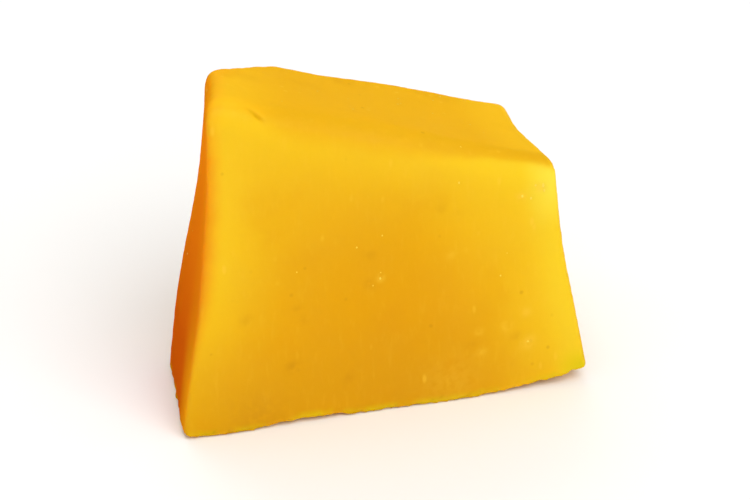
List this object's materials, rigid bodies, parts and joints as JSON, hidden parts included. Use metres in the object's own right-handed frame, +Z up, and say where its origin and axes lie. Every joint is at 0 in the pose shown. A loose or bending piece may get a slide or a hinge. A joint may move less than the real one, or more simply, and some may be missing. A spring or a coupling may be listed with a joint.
{
  "type": "mango chunk",
  "caption": "Knife-cut chunk of ripe mango cheek: a blocky piece with a sloping top, soft cut edges and a gently domed, peeled underside that it rests on.",
  "frame": {"origin": "centre of the bounding box at the level of the flat spot that the chunk stands on", "axes": "+X along the chunk's length, with its low end at +X and its tall end at -X, -Y out of the broad front cut, +Z up"},
  "size_m": [0.0386, 0.0318, 0.0316],
  "materials": {
    "mango_flesh": "moist, translucent ripe mango flesh, golden yellow with deeper orange in its shaded sides, smooth from the knife with faint fibres"
  },
  "bodies": {
    "root": {"mango_chunk": "mango_flesh"}
  },
  "joints": []
}
